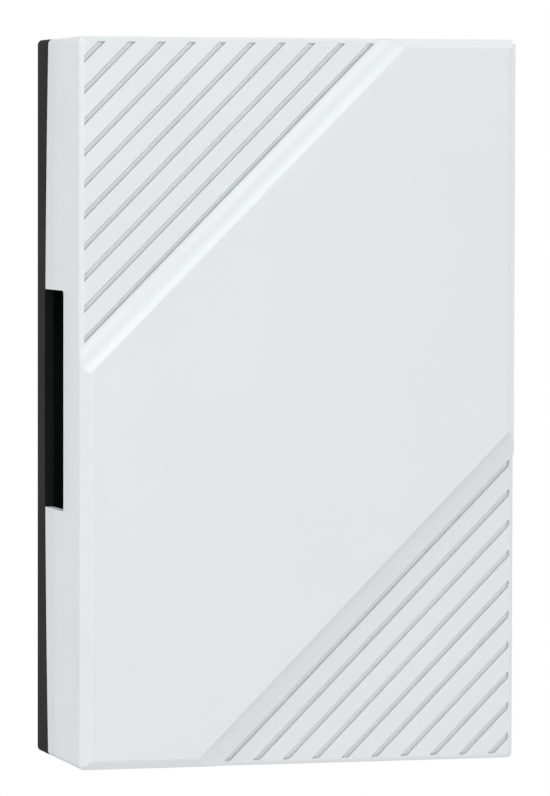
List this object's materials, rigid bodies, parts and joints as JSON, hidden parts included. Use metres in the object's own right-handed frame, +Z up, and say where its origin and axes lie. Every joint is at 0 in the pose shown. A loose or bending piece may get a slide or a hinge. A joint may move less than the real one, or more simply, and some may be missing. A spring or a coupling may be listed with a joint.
{
  "type": "doorbell chime box",
  "caption": "Wired two-note door chime: white cover with a raised diagonal panel, grooved corners and side sound slots, over a black base with tone bars, solenoids and terminals.",
  "frame": {"origin": "on the wall plane, midway between the two slots for the wall screws", "axes": "+Z up, +Y into the wall, +X to the right as seen from the room"},
  "size_m": [0.1186, 0.051, 0.1906],
  "materials": {
    "cover": "satin white moulding",
    "base": "black moulding",
    "bar_steel": "zinc plated, bright",
    "rubber": "soft black rubber",
    "spring_steel": "plain spring steel",
    "frame_steel": "yellow-clear zinc plating",
    "nylon": "natural nylon",
    "winding": "enamelled copper wire",
    "pin": "tinned",
    "plunger_steel": "turned, bare",
    "felt": "grey wool felt",
    "board": "dark grey phenolic",
    "terminal": "bright brass",
    "screw_steel": "zinc plated",
    "lead_red": "red insulation",
    "lead_white": "white insulation",
    "lead_green": "green insulation"
  },
  "bodies": {
    "base": {"base_plate": "base", "low_tone_bar": "bar_steel", "high_tone_bar": "bar_steel", "low_upper_grommet": "rubber", "low_upper_push_nut": "spring_steel", "low_lower_grommet": "rubber", "low_lower_push_nut": "spring_steel", "high_upper_grommet": "rubber", "high_upper_push_nut": "spring_steel", "high_lower_grommet": "rubber", "high_lower_push_nut": "spring_steel", "front_solenoid_frame": "frame_steel", "front_bobbin": "nylon", "front_winding": "winding", "front_coil_pins": "pin", "front_spring": "spring_steel", "rear_solenoid_frame": "frame_steel", "rear_bobbin": "nylon", "rear_winding": "winding", "rear_coil_pins": "pin", "rear_spring": "spring_steel", "rear_stop_pad": "felt", "terminal_board": "board", "front_terminal": "terminal", "common_terminal": "terminal", "rear_terminal": "terminal", "solenoid_screws": "screw_steel", "terminal_board_screws": "screw_steel", "front_coil_lead": "lead_red", "rear_coil_lead": "lead_green", "front_coil_common_lead": "lead_white", "rear_coil_common_lead": "lead_white"},
    "cover": {"cover": "cover"},
    "front_plunger": {"front_plunger": "plunger_steel", "front_left_striker": "nylon", "front_right_striker": "nylon"},
    "rear_plunger": {"rear_plunger": "plunger_steel", "rear_left_striker": "nylon", "rear_right_striker": "nylon"},
    "front_terminal_washer": {"front_terminal_washer": "screw_steel"},
    "front_terminal_screw": {"front_terminal_screw": "screw_steel"},
    "common_terminal_washer": {"common_terminal_washer": "screw_steel"},
    "common_terminal_screw": {"common_terminal_screw": "screw_steel"},
    "rear_terminal_washer": {"rear_terminal_washer": "screw_steel"},
    "rear_terminal_screw": {"rear_terminal_screw": "screw_steel"}
  },
  "joints": [
    {"name": "cover_pull", "type": "slide", "parent": "base", "child": "cover", "axis": [0, -1, 0], "range_m": [0, 0.06]},
    {"name": "front_plunger_slide", "type": "slide", "parent": "base", "child": "front_plunger", "axis": [1, 0, 0], "range_m": [-0.00195, 0.00715], "stiffness_N_per_m": 90, "deforming": ["front_spring"]},
    {"name": "rear_plunger_slide", "type": "slide", "parent": "base", "child": "rear_plunger", "axis": [1, 0, 0], "range_m": [0, 0.00715], "stiffness_N_per_m": 90, "deforming": ["rear_spring"]},
    {"name": "front_terminal_lift", "type": "slide", "parent": "base", "child": "front_terminal_washer", "axis": [0, -1, 0], "range_m": [0, 0.00149]},
    {"name": "front_terminal_turn", "type": "hinge", "parent": "front_terminal_washer", "child": "front_terminal_screw", "pos_m": [-0.017, -0.0138, -0.054], "axis": [0, -1, 0], "range_deg": [0, 675]},
    {"name": "common_terminal_lift", "type": "slide", "parent": "base", "child": "common_terminal_washer", "axis": [0, -1, 0], "range_m": [0, 0.00149]},
    {"name": "common_terminal_turn", "type": "hinge", "parent": "common_terminal_washer", "child": "common_terminal_screw", "pos_m": [0, -0.0138, -0.054], "axis": [0, -1, 0], "range_deg": [0, 675]},
    {"name": "rear_terminal_lift", "type": "slide", "parent": "base", "child": "rear_terminal_washer", "axis": [0, -1, 0], "range_m": [0, 0.00149]},
    {"name": "rear_terminal_turn", "type": "hinge", "parent": "rear_terminal_washer", "child": "rear_terminal_screw", "pos_m": [0.017, -0.0138, -0.054], "axis": [0, -1, 0], "range_deg": [0, 675]}
  ],
  "couplings": [
    {"joint": "front_terminal_turn", "follows": "front_terminal_lift", "rad_per_m": 7915.8},
    {"joint": "common_terminal_turn", "follows": "common_terminal_lift", "rad_per_m": 7915.8},
    {"joint": "rear_terminal_turn", "follows": "rear_terminal_lift", "rad_per_m": 7915.8}
  ]
}
